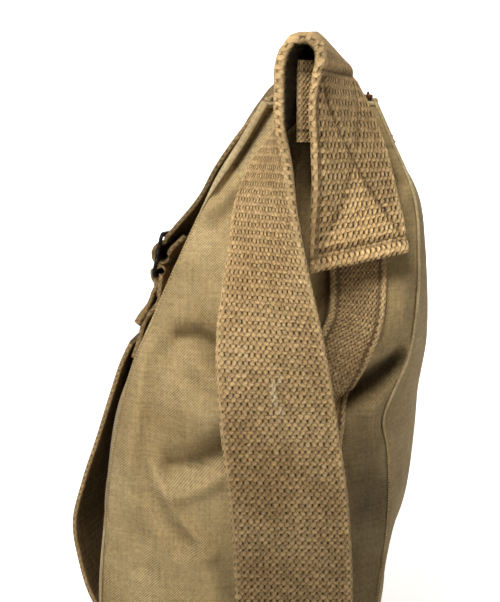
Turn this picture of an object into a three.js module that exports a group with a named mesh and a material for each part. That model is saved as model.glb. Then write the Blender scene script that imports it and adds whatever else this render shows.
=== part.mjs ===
// Canvas shoulder bag with a webbing shoulder strap, standing on its base.
// Millimetres, +Z up. The front faces -Y and the two gussets face +X and -X.
// The strap hangs down outside both gussets and passes beneath the base.
import * as THREE from 'three';

// Driving dimensions
const CANVAS = 2.0; // canvas with its seam allowance, as one wall
const WEBBING = 3.0; // heavy cotton webbing, thickness
const WEBBING_WIDTH = 50;
const BAND_WIDTH = 26; // tape sewn down each gusset
const BAND = 2.2; // its thickness
const SEAM_GAP = 0.5; // clearance between pieces that are sewn together
const SEAM_INSET = 3.4; // the gussets stop this far inside the outer faces of the front and back
const MOUTH_Z = 326.5; // top edge of the canvas
const FOOT_Z = 1; // lower edge of the side walls, beside the base
const BOX_CENTRE_Y = 0.44; // moves the model so that its box is centred on the origin

// Upright shape of the body: where the four long seams run, and how far each wall swells beyond them.
// front, back: y of the seams. half: half of the width. gusset, face, rear: swell of the walls.
const BODY = [
  { z: 0, front: -53, back: 53, half: 161, gusset: 0, face: 2, rear: 2 },
  { z: 8, front: -60, back: 60, half: 165.5, gusset: 4, face: 5, rear: 5 },
  { z: 22, front: -64, back: 63, half: 168, gusset: 11, face: 8, rear: 7 },
  { z: 50, front: -66, back: 66, half: 169, gusset: 19, face: 12, rear: 9 },
  { z: 85, front: -67, back: 69, half: 170, gusset: 25, face: 13, rear: 13.5 },
  { z: 120, front: -64.5, back: 73, half: 170, gusset: 28, face: 12, rear: 19 },
  { z: 158, front: -60, back: 76, half: 170, gusset: 28, face: 9, rear: 22.3 },
  { z: 190, front: -53, back: 76, half: 170, gusset: 25, face: 4, rear: 25.8 },
  { z: 217, front: -44.5, back: 84, half: 170, gusset: 20, face: -2, rear: 19.8 },
  { z: 251, front: -30, back: 88, half: 168, gusset: 14, face: -8, rear: 14 },
  { z: 284, front: -13.5, back: 84.8, half: 164, gusset: 9, face: -9, rear: 10 },
  { z: 307, front: 3.5, back: 75.2, half: 160, gusset: 6, face: -5, rear: 5 },
  { z: 330, front: 17, back: 65.2, half: 156, gusset: 3, face: 0, rear: 2 },
];
const FACE_ROUND = 2; // a higher power makes the swell of a panel fuller towards its seams
const REAR_ROUND = 4;

// Dents and ridges of the gussets, each along a line in the upright plane from (y, z) to (toY, toZ).
// rise is outward, so a dent is negative, and reach is how far to each side the cloth is drawn.
const GUSSET_FOLDS = [
  { y: -24, z: 216, toY: -13, toZ: 216, rise: -6, reach: 7 },
  { y: -13, z: 216, toY: -3, toZ: 208, rise: -6, reach: 7 },
  { y: -29.5, z: 217, toY: -18, toZ: 199, rise: -2, reach: 6 },
  { y: -16, z: 187, toY: -12, toZ: 183, rise: 4, reach: 14 },
  { y: -26, z: 156, toY: -6, toZ: 163, rise: -8, reach: 8 },
  { y: -22, z: 149, toY: -6, toZ: 154, rise: 3, reach: 6 },
  { y: -38.6, z: 153, toY: -27, toZ: 135, rise: 4, reach: 5 },
  { y: -27, z: 135, toY: -18, toZ: 125, rise: 3, reach: 5 },
  { y: 75, z: 234, toY: 76, toZ: 228, rise: 5, reach: 11 },
  { y: 54, z: 184, toY: 63, toZ: 195, rise: -9, reach: 7 },
  { y: 63, z: 195, toY: 81, toZ: 205.5, rise: -10, reach: 7 },
  { y: 64, z: 182, toY: 80, toZ: 192, rise: 4, reach: 6 },
  { y: 69.5, z: 173, toY: 73, toZ: 165, rise: 4, reach: 6 },
  { y: 39.5, z: 250, toY: 38.5, toZ: 236, rise: -4, reach: 5 },
  { y: 38.5, z: 236, toY: 34, toZ: 219, rise: -4, reach: 5 },
  { y: -8, z: 263, toY: 2, toZ: 279, rise: -3, reach: 7 },
];

// Soft rolls across the front and back panels: centre (u, z), u from -1 to 1 across the width.
const PANEL_ROLLS = [
  { u: -0.55, z: 205, toU: -0.1, toZ: 190, rise: -5, reach: 16 },
  { u: 0.6, z: 212, toU: 0.2, toZ: 196, rise: -5, reach: 16 },
  { u: -0.8, z: 110, toU: -0.5, toZ: 70, rise: -4, reach: 18 },
  { u: 0.8, z: 100, toU: 0.45, toZ: 62, rise: -4, reach: 18 },
];

// Shoulder strap from its sewn end on the +X gusset, up, over and down to the middle of the base.
// turn is the bearing of the edge nearest the wearer's hand: 0 is -Y, 90 is +X and 180 is +Y.
// dip is how far that edge lies below the other one, as a share of the width.
const STRAP_UNDER_Y = 25;
const STRAP_ROUTE = [
  { x: 188.3, y: 57.8, z: 247, turn: 16 },
  { x: 187, y: 56.5, z: 266, turn: 25 },
  { x: 186, y: 55.5, z: 280, turn: 33 },
  { x: 184, y: 52.5, z: 302.5, turn: 43 },
  { x: 183, y: 47.5, z: 325, turn: 56 },
  { x: 182.2, y: 44.8, z: 340.6, turn: 72 },
  { x: 182.3, y: 43.5, z: 345.6, turn: 76, dip: 0.03 },
  { x: 182.5, y: 40.6, z: 350.4, turn: 79, dip: 0.08 },
  { x: 183.2, y: 34.7, z: 354.6, turn: 79, dip: 0.15 },
  { x: 184.7, y: 31.5, z: 349.8, turn: 70, dip: 0.12 },
  { x: 185.8, y: 29.3, z: 340.1, turn: 68, dip: 0.04 },
  { x: 187.4, y: 27.7, z: 331.7, turn: 71 },
  { x: 189.5, y: 24.3, z: 319.6, turn: 79 },
  { x: 191, y: 20.8, z: 311.9, turn: 88 },
  { x: 192.5, y: 18.3, z: 303.8, turn: 98 },
  { x: 193.9, y: 16.2, z: 296.1, turn: 107 },
  { x: 196, y: 13.7, z: 280.6, turn: 119 },
  { x: 201.5, y: 13, z: 258, turn: 134 },
  { x: 206.5, y: 14, z: 236, turn: 149 },
  { x: 210, y: 16, z: 214, turn: 165 },
  { x: 212.5, y: 19, z: 191, turn: 177 },
  { x: 213, y: 22.5, z: 168, turn: 180 },
  { x: 213, y: 25, z: 145, turn: 180 },
  { x: 210.5, y: 27, z: 100, turn: 180 },
  { x: 205, y: STRAP_UNDER_Y + 1, z: 55, turn: 180 },
  { x: 198, y: STRAP_UNDER_Y, z: 24, turn: 180 },
  { x: 192, y: STRAP_UNDER_Y, z: 10, turn: 180 },
  { x: 182, y: STRAP_UNDER_Y, z: 3.2, turn: 180 },
  { x: 168, y: STRAP_UNDER_Y, z: WEBBING / 2 + 0.2, turn: 180 },
  { x: 150, y: STRAP_UNDER_Y, z: WEBBING / 2, turn: 180 },
  { x: 60, y: STRAP_UNDER_Y, z: WEBBING / 2, turn: 180 },
];
const BACKING_ROWS = [3, 4, 5]; // rows of the strap that the backing tab lies behind
const BACKING_SHIFT = 5; // the tab shows this much beside the strap

// Tape down each gusset: its middle line on the cloth.
const BAND_ROUTE = [
  { y: 57.5, z: 256 },
  { y: 56.5, z: 236 },
  { y: 52.5, z: 222 },
  { y: 46.5, z: 210 },
  { y: 41.5, z: 198 },
  { y: 37, z: 180 },
  { y: 34, z: 140 },
  { y: 31, z: 100 },
  { y: 29, z: 60 },
  { y: 27, z: 25 },
  { y: 26, z: 9 },
];

// Buckle of the closing strap, a flat frame with three bars.
const BUCKLE = { y: -46.5, z: 240.5, lean: 12.5, width: 58, length: 28, thick: 1.8, bar: 3, corner: 4 };

// Closing strap over the mouth, from the back panel to the buckle. twist turns its near edge outward.
const UPPER_ROUTE = [
  { y: 89.6, z: 297 },
  { y: 83.2, z: 307 },
  { y: 76, z: 320 },
  { y: 70, z: 333 },
  { y: 60, z: 344 },
  { y: 42, z: 349 },
  { y: 22, z: 341, twist: 3 },
  { y: 2.4, z: 314, twist: 7 },
  { y: -19.5, z: 277.5, twist: 9 },
];
// along, out: place in the buckle's own frame, down its length and outward from its middle plane.
const UPPER_THREAD = [
  { along: -15.5, out: -3.6 },
  { along: -10, out: -2.6 },
  { along: -6.3, out: 0.2 },
  { along: -2.6, out: 3.2 },
  { along: 0.8, out: 3.6 },
  { along: 4, out: 0.8 },
  { along: 4.2, out: -3.0 },
  { along: 1.6, out: -7.0 },
  { along: -1.5, out: -10.5 },
  { along: -4, out: -14.5 },
];
const LOOP_THREAD = [
  { along: 26, out: 0.2 },
  { along: 18, out: 1.3 },
  { along: 12.4, out: 2.8 },
  { along: 9.2, out: 2.2 },
  { along: 8.5, out: -0.3 },
  { along: 9.6, out: -2.7 },
  { along: 13, out: -3.5 },
  { along: 18, out: -3.0 },
  { along: 26, out: -3.3 },
];
// The doubled strap below the buckle: its outer end, and where its inner layer is sewn to the front.
const LOOP_END = { y: -59.6, z: 199.5 };
const LOOP_SEWN = [
  { y: -56.1, z: 199.5 },
  { y: -60.4, z: 188.5 },
  { y: -64.4, z: 178 },
];
// Lower strap, sewn over the one above, bowing out slack and going down to the front seam of the base.
const LOWER_ROUTE = [
  { y: -64.6, z: 187, twist: 0 },
  { y: -69.8, z: 174.5, twist: 0 },
  { y: -76, z: 156, twist: 0 },
  { y: -83, z: 128, twist: 6 },
  { y: -90.2, z: 100, twist: 12 },
  { y: -95, z: 74, twist: 15 },
  { y: -92.4, z: 52, twist: 14 },
  { y: -86.4, z: 26, twist: 9 },
  { y: -77, z: 9, twist: 4 },
  { y: -65.5, z: 3.6, twist: 0 },
];

// Metal zip along the mouth, drawn open, with its slider at the +X end of the back half.
const ZIP = { thick: 2.4, tall: 6, half: 146, gap: 0.6, above: 1.2 };
const SLIDER = { x: 141, width: 11, tall: 4, wall: 2, ring: 3.6, wire: 0.8, rise: 2.2 };

const canvas = material(0xb29c6e, 0.95, 0);
const webbing = material(0xa98f63, 0.95, 0);
const tape = material(0x9a835a, 0.95, 0);
const blackMetal = material(0x2b2b2e, 0.45, 0.9);
const brass = material(0x8a6a3a, 0.4, 0.9);

function material(color, roughness, metalness) {
  return new THREE.MeshStandardMaterial({ color, roughness, metalness });
}

// A smooth curve through one column of a table, read at a value of another column.
function columnCurve(rows, at, key) {
  const places = rows.map((row) => row[at]);
  const values = rows.map((row) => row[key]);
  const curve = new THREE.CubicInterpolant(places, values, 1);
  return (place) => curve.evaluate(place)[0];
}

const body = {};
for (const key of ['front', 'back', 'half', 'gusset', 'face', 'rear']) {
  body[key] = columnCurve(BODY, 'z', key);
}

// How far a fold along the line from a to b, in the plane (p, z), moves the cloth at one place.
function foldRise(p, z, a, b, rise, reach) {
  const line = b.clone().sub(a);
  const place = new THREE.Vector2(p, z);
  const share = THREE.MathUtils.clamp(place.clone().sub(a).dot(line) / line.lengthSq(), 0, 1);
  const away = place.distanceTo(a.clone().addScaledVector(line, share)) / reach;
  return rise * Math.exp(-away * away);
}

// The cloth rises over the strap that passes beneath the base.
function liftOverStrap(y) {
  const rampStart = WEBBING_WIDTH / 2 + 9;
  const rampEnd = WEBBING_WIDTH / 2 + 1;
  return (WEBBING + 0.8) * (1 - THREE.MathUtils.smoothstep(Math.abs(y - STRAP_UNDER_Y), rampEnd, rampStart));
}

// Outer face of the +X gusset at a place in the upright plane.
function gussetX(y, z) {
  const inner = body.front(z) + SEAM_INSET;
  const outer = body.back(z) - SEAM_INSET;
  const side = THREE.MathUtils.clamp((2 * (y - inner)) / (outer - inner) - 1, -1, 1);
  const edge = 1 - Math.pow(Math.abs(side), 2.2);
  let x = body.half(z) + body.gusset(z) * edge;
  for (const { y: fromY, z: fromZ, toY, toZ, rise, reach } of GUSSET_FOLDS) {
    const a = new THREE.Vector2(fromY, fromZ);
    const b = new THREE.Vector2(toY, toZ);
    x += Math.min(1, 3 * edge) * foldRise(y, z, a, b, rise, reach);
  }
  return x;
}

// Outer face of the front panel (side -1) or the back panel (side +1).
function panelY(u, z, side) {
  const seam = side < 0 ? body.front(z) : body.back(z);
  const swell = side < 0 ? body.face(z) : body.rear(z);
  const edge = 1 - Math.pow(Math.abs(u), side < 0 ? FACE_ROUND : REAR_ROUND);
  let out = swell * edge;
  for (const { u: fromU, z: fromZ, toU, toZ, rise, reach } of PANEL_ROLLS) {
    const width = body.half(z);
    const a = new THREE.Vector2(side * fromU * width, fromZ);
    const b = new THREE.Vector2(side * toU * width, toZ);
    out += Math.min(1, 3 * edge) * foldRise(u * width, z, a, b, rise, reach);
  }
  return seam + side * out;
}

// A closed solid from a grid of outer points, thickened inward along the surface's normals.
function sheet(pointAt, across, up, thickness) {
  const outer = [];
  const inner = [];
  const step = 1e-3;
  for (let j = 0; j <= up; j += 1) {
    for (let i = 0; i <= across; i += 1) {
      const u = THREE.MathUtils.clamp(i / across, step, 1 - step);
      const v = THREE.MathUtils.clamp(j / up, step, 1 - step);
      const alongU = pointAt(u + step, v).sub(pointAt(u - step, v));
      const alongV = pointAt(u, v + step).sub(pointAt(u, v - step));
      const normal = alongU.cross(alongV).normalize();
      const point = pointAt(i / across, j / up);
      outer.push(point);
      inner.push(point.clone().addScaledVector(normal, -thickness));
    }
  }
  const rowLength = across + 1;
  const count = outer.length;
  const faces = [];
  const quad = (a, b, c, d) => faces.push(a, b, c, a, c, d);
  for (let j = 0; j < up; j += 1) {
    for (let i = 0; i < across; i += 1) {
      const a = j * rowLength + i;
      quad(a, a + 1, a + 1 + rowLength, a + rowLength);
      quad(count + a, count + a + rowLength, count + a + 1 + rowLength, count + a + 1);
    }
  }
  const rim = (a, b) => quad(b, a, count + a, count + b);
  for (let i = 0; i < across; i += 1) {
    rim(i, i + 1);
    rim(up * rowLength + i + 1, up * rowLength + i);
  }
  for (let j = 0; j < up; j += 1) {
    rim((j + 1) * rowLength, j * rowLength);
    rim(j * rowLength + across, (j + 1) * rowLength + across);
  }
  return solid([...outer, ...inner], faces);
}

// A geometry from points and triangles, turned the right way out.
function solid(points, faces) {
  let volume = 0;
  for (let k = 0; k < faces.length; k += 3) {
    const [a, b, c] = [points[faces[k]], points[faces[k + 1]], points[faces[k + 2]]];
    volume += a.dot(b.clone().cross(c));
  }
  const index = [...faces];
  if (volume < 0) {
    index.reverse();
  }
  const geometry = new THREE.BufferGeometry();
  geometry.setAttribute('position', new THREE.Float32BufferAttribute(points.flatMap((p) => p.toArray()), 3));
  geometry.setIndex(index);
  geometry.computeVertexNormals();
  return geometry;
}

// A flat strap through stations of { point, across }, with across the direction of its width.
function ribbon(stations, width, thickness, stepsPerRow) {
  const curve = new THREE.CatmullRomCurve3(stations.map((s) => s.point), false, 'centripetal');
  const last = stations.length - 1;
  const points = [];
  const faces = [];
  const total = last * stepsPerRow;
  for (let k = 0; k <= total; k += 1) {
    const place = k / stepsPerRow;
    const row = Math.min(Math.floor(place), last - 1);
    const share = THREE.MathUtils.smoothstep(place - row, 0, 1);
    const tangent = curve.getTangent(k / total);
    const across = stations[row].across.clone().lerp(stations[row + 1].across, share);
    across.addScaledVector(tangent, -across.dot(tangent)).normalize();
    const out = tangent.clone().cross(across).normalize();
    const centre = curve.getPoint(k / total);
    for (const [w, n] of [[1, 1], [-1, 1], [-1, -1], [1, -1]]) {
      const corner = centre.clone().addScaledVector(across, (w * width) / 2);
      points.push(corner.addScaledVector(out, (n * thickness) / 2));
    }
  }
  const quad = (a, b, c, d) => faces.push(a, b, c, a, c, d);
  for (let k = 0; k < total; k += 1) {
    for (let c = 0; c < 4; c += 1) {
      const next = (c + 1) % 4;
      quad(4 * k + c, 4 * k + next, 4 * (k + 1) + next, 4 * (k + 1) + c);
    }
  }
  quad(3, 2, 1, 0);
  quad(4 * total, 4 * total + 1, 4 * total + 2, 4 * total + 3);
  return solid(points, faces);
}

// The same solid on the other side of the plane of symmetry.
function mirrorImage(geometry) {
  const copy = geometry.clone().scale(-1, 1, 1);
  copy.setIndex([...copy.index.array].reverse());
  copy.computeVertexNormals();
  return copy;
}

function vector(x, y, z) {
  return new THREE.Vector3(x, y, z);
}

function mirrored({ point, across }) {
  return { point: vector(-point.x, point.y, point.z), across: vector(-across.x, across.y, across.z) };
}

const bag = new THREE.Group();
bag.position.y = -BOX_CENTRE_Y;

function add(name, geometry, finish) {
  const mesh = new THREE.Mesh(geometry, finish);
  mesh.name = name;
  bag.add(mesh);
  return mesh;
}

// Canvas walls
function gussetGeometry() {
  const pointAt = (s, v) => {
    const footY = THREE.MathUtils.lerp(body.front(FOOT_Z), body.back(FOOT_Z), s);
    const z = THREE.MathUtils.lerp(FOOT_Z + liftOverStrap(footY), MOUTH_Z - 2, v);
    const y = THREE.MathUtils.lerp(
      body.front(z) + SEAM_INSET,
      body.back(z) - SEAM_INSET,
      s,
    );
    return vector(gussetX(y, z), y, z);
  };
  return sheet(pointAt, 18, 30, CANVAS);
}

function panelGeometry(side) {
  const pointAt = (u, v) => {
    const across = -side * (2 * u - 1);
    const z = THREE.MathUtils.lerp(FOOT_Z, MOUTH_Z, v);
    return vector(across * body.half(z), panelY(across, z, side), z);
  };
  return sheet(pointAt, 14, 22, CANVAS);
}

function baseGeometry() {
  const halfX = body.half(0) - CANVAS - 1;
  const halfY = body.back(0) - CANVAS - 1;
  const pointAt = (u, v) => {
    const y = THREE.MathUtils.lerp(halfY, -halfY, v);
    return vector(THREE.MathUtils.lerp(-halfX, halfX, u), y, liftOverStrap(y));
  };
  return sheet(pointAt, 4, 18, CANVAS);
}

add('front_panel', panelGeometry(-1), canvas);
add('back_panel', panelGeometry(1), canvas);
const rightGusset = gussetGeometry();
add('gusset_right', rightGusset, canvas);
add('gusset_left', mirrorImage(rightGusset), canvas);
add('base_panel', baseGeometry(), canvas);

// Shoulder strap, in one length from gusset to gusset
const strapHalf = STRAP_ROUTE.map(({ x, y, z, turn, dip = 0 }) => {
  const bearing = THREE.MathUtils.degToRad(turn);
  return { point: vector(x, y, z), across: vector(Math.sin(bearing), -Math.cos(bearing), -dip) };
});
const strapWhole = [...strapHalf, ...strapHalf.map(mirrored).reverse()];
add('shoulder_strap', ribbon(strapWhole, WEBBING_WIDTH, WEBBING, 3), webbing);

// Webbing tab behind the strap at the top of each gusset
const backing = BACKING_ROWS.map((k) => {
  const { point, across } = strapHalf[k];
  const along = strapHalf[k + 1].point.clone().sub(strapHalf[k - 1].point).normalize();
  const side = across.clone().addScaledVector(along, -across.dot(along)).normalize();
  const inward = side.clone().cross(along).normalize();
  inward.multiplyScalar(inward.x > 0 ? -1 : 1);
  const moved = point.clone().addScaledVector(inward, WEBBING + 2);
  return { point: moved.addScaledVector(side, BACKING_SHIFT), across };
});
const backingGeometry = ribbon(backing, WEBBING_WIDTH, WEBBING, 4);
add('strap_backing_right', backingGeometry, webbing);
add('strap_backing_left', mirrorImage(backingGeometry), webbing);

// Tape sewn down the middle of each gusset
function bandGeometry() {
  const line = new THREE.CatmullRomCurve3(BAND_ROUTE.map(({ y, z }) => vector(0, y, z)), false, 'centripetal');
  const pointAt = (u, v) => {
    const along = line.getTangent(v);
    const offset = (u - 0.5) * BAND_WIDTH;
    const middle = line.getPoint(v);
    const y = middle.y - along.z * offset;
    const z = middle.z + along.y * offset;
    return vector(gussetX(y, z) + SEAM_GAP + BAND, y, z);
  };
  return sheet(pointAt, 4, 24, BAND);
}
const tapeGeometry = bandGeometry();
add('gusset_tape_right', tapeGeometry, tape);
add('gusset_tape_left', mirrorImage(tapeGeometry), tape);

// Closing strap and buckle
const lean = THREE.MathUtils.degToRad(BUCKLE.lean);
const acrossX = vector(1, 0, 0);

function inBuckle({ along, out }) {
  const y = BUCKLE.y - Math.sin(lean) * along - Math.cos(lean) * out;
  const z = BUCKLE.z - Math.cos(lean) * along + Math.sin(lean) * out;
  return { y, z };
}

function flatStations(rows) {
  return rows.map(({ y, z, twist = 0 }) => {
    const angle = THREE.MathUtils.degToRad(twist);
    return { point: vector(0, y, z), across: vector(Math.cos(angle), -Math.sin(angle), 0) };
  });
}

const upperRows = [...UPPER_ROUTE, ...UPPER_THREAD.map(inBuckle)];
add('closing_strap_upper', ribbon(flatStations(upperRows), WEBBING_WIDTH, WEBBING, 3), webbing);
const loopRows = [LOOP_END, ...LOOP_THREAD.map(inBuckle), ...LOOP_SEWN];
add('buckle_loop', ribbon(flatStations(loopRows), WEBBING_WIDTH, WEBBING, 3), webbing);
add('closing_strap_lower', ribbon(flatStations(LOWER_ROUTE), WEBBING_WIDTH, WEBBING, 3), webbing);

function roundedRectangle(shape, x, y, width, height, radius) {
  const [right, top] = [x + width, y + height];
  shape.moveTo(x + radius, y);
  shape.lineTo(right - radius, y);
  shape.absarc(right - radius, y + radius, radius, -Math.PI / 2, 0, false);
  shape.lineTo(right, top - radius);
  shape.absarc(right - radius, top - radius, radius, 0, Math.PI / 2, false);
  shape.lineTo(x + radius, top);
  shape.absarc(x + radius, top - radius, radius, Math.PI / 2, Math.PI, false);
  shape.lineTo(x, y + radius);
  shape.absarc(x + radius, y + radius, radius, Math.PI, 1.5 * Math.PI, false);
  return shape;
}

function buckleGeometry() {
  const { width, length, thick, bar, corner } = BUCKLE;
  const frame = roundedRectangle(new THREE.Shape(), -width / 2, -length / 2, width, length, corner);
  const slotHeight = (length - 3 * bar) / 2;
  for (const low of [-length / 2 + bar, bar / 2]) {
    frame.holes.push(roundedRectangle(new THREE.Path(), -width / 2 + bar, low, width - 2 * bar, slotHeight, 1));
  }
  const geometry = new THREE.ExtrudeGeometry(frame, { depth: thick, bevelEnabled: false, curveSegments: 3 });
  return geometry.translate(0, 0, -thick / 2);
}
const buckle = add('buckle', buckleGeometry(), blackMetal);
buckle.position.set(0, BUCKLE.y, BUCKLE.z);
buckle.rotation.x = Math.PI / 2 - lean;

// Zip halves inside the mouth, and the slider
function zipY(x, side) {
  const outer = panelY(x / body.half(MOUTH_Z), MOUTH_Z, side);
  return outer - side * (1.35 * CANVAS + ZIP.gap);
}

function zipGeometry(side) {
  const pointAt = (u, v) => {
    const x = -side * THREE.MathUtils.lerp(-ZIP.half, ZIP.half, u);
    return vector(x, zipY(x, side), MOUTH_Z + ZIP.above - (1 - v) * ZIP.tall);
  };
  return sheet(pointAt, 16, 1, ZIP.thick);
}
add('zip_front', zipGeometry(-1), brass);
add('zip_back', zipGeometry(1), brass);

const sliderY = zipY(SLIDER.x, 1) - ZIP.thick / 2;
const sliderSpan = ZIP.thick + 2 * SLIDER.wall + 2 * SEAM_GAP;
const sliderFoot = MOUTH_Z + ZIP.gap;

function sliderGeometry() {
  // A saddle over the top of the zip: two cheeks joined by a bridge above the teeth.
  const [half, inner] = [sliderSpan / 2, ZIP.thick / 2 + SEAM_GAP];
  const bridge = ZIP.above - ZIP.gap + SEAM_GAP;
  const outline = new THREE.Shape();
  outline.moveTo(-half, 0);
  outline.lineTo(-inner, 0);
  outline.lineTo(-inner, bridge);
  outline.lineTo(inner, bridge);
  outline.lineTo(inner, 0);
  outline.lineTo(half, 0);
  outline.lineTo(half, SLIDER.tall);
  outline.lineTo(-half, SLIDER.tall);
  outline.closePath();
  return new THREE.ExtrudeGeometry(outline, { depth: SLIDER.width, bevelEnabled: false });
}
const slider = add('zip_slider', sliderGeometry(), brass);
slider.rotation.set(Math.PI / 2, Math.PI / 2, 0);
slider.position.set(SLIDER.x - SLIDER.width / 2, sliderY, sliderFoot);

const ring = add('zip_ring', new THREE.TorusGeometry(SLIDER.ring, SLIDER.wire, 6, 14), brass);
ring.rotation.set(Math.PI / 2, 0, 0);
ring.position.set(SLIDER.x + SLIDER.width / 2 + SLIDER.ring + SLIDER.wire + SEAM_GAP, sliderY, sliderFoot + SLIDER.rise);

export default bag;
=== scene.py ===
"""A canvas shoulder bag with a heavy webbing strap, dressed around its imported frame.

Sizes are in millimetres as on the frame, and become metres where a mesh is made.
+Z is up and the front faces -Y.
"""

import math

import bpy
import numpy as np
from mathutils import Matrix, Vector


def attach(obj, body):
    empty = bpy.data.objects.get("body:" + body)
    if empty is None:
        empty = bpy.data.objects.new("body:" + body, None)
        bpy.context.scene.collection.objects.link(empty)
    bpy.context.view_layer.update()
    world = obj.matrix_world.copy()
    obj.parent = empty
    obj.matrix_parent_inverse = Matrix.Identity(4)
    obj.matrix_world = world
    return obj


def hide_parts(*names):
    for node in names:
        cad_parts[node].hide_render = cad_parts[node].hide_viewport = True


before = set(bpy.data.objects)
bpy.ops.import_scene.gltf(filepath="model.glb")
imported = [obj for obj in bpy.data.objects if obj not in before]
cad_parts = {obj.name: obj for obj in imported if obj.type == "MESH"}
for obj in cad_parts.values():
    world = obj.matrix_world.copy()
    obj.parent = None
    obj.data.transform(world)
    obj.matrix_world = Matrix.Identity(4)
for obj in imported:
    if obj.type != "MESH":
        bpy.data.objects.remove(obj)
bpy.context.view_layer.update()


# The studio: a pale floor, white paper behind and four soft lights.
# The camera stands a little below the height of the mouth and looks slightly down at one end of the bag.
MM = 0.001
CAMERA_PLACE = (732, 6.53, 302)
CAMERA_TILT = 7.2  # degrees below the horizon
PHOTO_HEIGHT = 602
FOCAL_PIXELS = 1186
SENSOR = 36

camera_data = bpy.data.cameras.new("camera")
camera_data.sensor_width = SENSOR
camera_data.lens = FOCAL_PIXELS * SENSOR / PHOTO_HEIGHT
camera_data.clip_start = 0.01
camera = bpy.data.objects.new("camera", camera_data)
camera.location = Vector(CAMERA_PLACE) * MM
camera.rotation_euler = (math.radians(90 - CAMERA_TILT), 0, math.radians(90))
scene = bpy.context.scene
scene.collection.objects.link(camera)
scene.camera = camera
scene.view_settings.view_transform = "Standard"


def soft_light(name, place, aim, size, watts):
    data = bpy.data.lights.new(name, "AREA")
    data.size = size
    data.energy = watts
    light = bpy.data.objects.new(name, data)
    light.location = place
    light.rotation_euler = (Vector(aim) - Vector(place)).to_track_quat("-Z", "Y").to_euler()
    scene.collection.objects.link(light)


soft_light("key_light", (0.54, -0.14, 0.71), (0.2, 0.02, 0.25), 0.3, 5.1)
soft_light("back_fill", (-0.75, 1.05, 0.8), (0, 0, 0.2), 1.0, 8.0)
soft_light("front_fill", (-0.6, -1.3, 0.7), (0, 0, 0.2), 1.0, 3.0)
soft_light("low_fill", (1.1, -0.75, 0.2), (0.17, -0.03, 0.1), 0.6, 1.1)

surround = bpy.data.worlds.new("surround")
surround.use_nodes = True
surround.node_tree.nodes["Background"].inputs["Color"].default_value = (1, 0.95, 0.87, 1)
surround.node_tree.nodes["Background"].inputs["Strength"].default_value = 0.1
scene.world = surround


# Node materials are written as sums: a Value wraps one socket and adds the Math nodes that an
# expression needs, and a Finish makes every other node through one method.
class Value:
    def __init__(self, finish, socket):
        self.finish = finish
        self.socket = socket

    def math(self, operation, first, second=None):
        sockets = {0: first} if second is None else {0: first, 1: second}
        return self.finish.node("ShaderNodeMath", {"operation": operation}, sockets)

    def __add__(self, other):
        return self.math("ADD", self, other)

    __radd__ = __add__

    def __mul__(self, other):
        return self.math("MULTIPLY", self, other)

    __rmul__ = __mul__

    def __sub__(self, other):
        return self.math("SUBTRACT", self, other)

    def __rsub__(self, other):
        return self.math("SUBTRACT", other, self)

    def sin(self):
        return self.math("SINE", self)

    def fract(self):
        return self.math("FRACT", self)

    def floor(self):
        return self.math("FLOOR", self)

    def sqrt(self):
        return self.math("SQRT", self)

    def over(self, other):
        return self.math("MAXIMUM", self, other)

    def under(self, other):
        return self.math("MINIMUM", self, other)


class Finish:
    def __init__(self, name, roughness, metallic=0.0, sheen=0.0, specular=0.5):
        self.material = bpy.data.materials.new(name)
        self.material.use_nodes = True
        self.tree = self.material.node_tree
        self.shader = self.tree.nodes["Principled BSDF"]
        self.set("Roughness", roughness)
        self.set("Metallic", metallic)
        self.set("Sheen Weight", sheen)
        self.set("Specular IOR Level", specular)

    def put(self, socket, value):
        if isinstance(value, Value):
            self.tree.links.new(value.socket, socket)
        else:
            socket.default_value = value

    def set(self, name, value):
        self.put(self.shader.inputs[name], value)

    def node(self, kind, settings=None, sockets=None, output=0):
        made = self.tree.nodes.new(kind)
        for name, setting in (settings or {}).items():
            setattr(made, name, setting)
        for name, value in (sockets or {}).items():
            self.put(made.inputs[name], value)
        return Value(self, made.outputs[output])

    def attribute(self, name):
        return self.node("ShaderNodeAttribute", {"attribute_name": name}, output="Fac")

    def uv(self):
        place = self.node("ShaderNodeUVMap", {"uv_map": "UVMap"})
        return [self.node("ShaderNodeSeparateXYZ", sockets={0: place}, output=k) for k in (0, 1)]

    def spot(self, across, along, extra=0.0):
        return self.node("ShaderNodeCombineXYZ", sockets={0: across, 1: along, 2: extra})

    def noise(self, place, scale, detail):
        sockets = {"Vector": place, "Scale": scale, "Detail": detail}
        return self.node("ShaderNodeTexNoise", {"noise_dimensions": "3D"}, sockets)

    def blend(self, share, first, second):
        settings = {"data_type": "RGBA", "clamp_factor": True}
        return self.node("ShaderNodeMix", settings, {0: share, 6: first, 7: second}, output=2)

    def shade(self, colour, amount):
        brightness = self.node("ShaderNodeCombineColor", sockets={0: amount, 1: amount, 2: amount})
        settings = {"data_type": "RGBA", "blend_type": "MULTIPLY"}
        return self.node("ShaderNodeMix", settings, {0: 1.0, 6: colour, 7: brightness}, output=2)

    def bump(self, height, distance):
        sockets = {"Height": height, "Distance": distance, "Strength": 1.0}
        self.set("Normal", self.node("ShaderNodeBump", sockets=sockets))


def paint(red, green, blue):
    """A colour as it is seen, 0 to 255, turned into the light that a shader works in."""
    def light(level):
        share = level / 255
        return share / 12.92 if share <= 0.04045 else ((share + 0.055) / 1.055) ** 2.4

    return (light(red), light(green), light(blue), 1.0)


# The floor and the white paper behind are the studio's own and not part of the bag.
def studio_sheet(name, size, place, turn, glow):
    bpy.ops.object.select_all(action="DESELECT")
    bpy.ops.mesh.primitive_plane_add(size=size, location=place, rotation=turn)
    sheet = bpy.context.object
    sheet.name = name
    finish = Finish(name, roughness=0.9)
    finish.set("Base Color", (0.93, 0.93, 0.93, 1))
    finish.set("Emission Color", (1, 1, 1, 1))
    finish.set("Emission Strength", glow)
    sheet.data.materials.append(finish.material)


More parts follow.
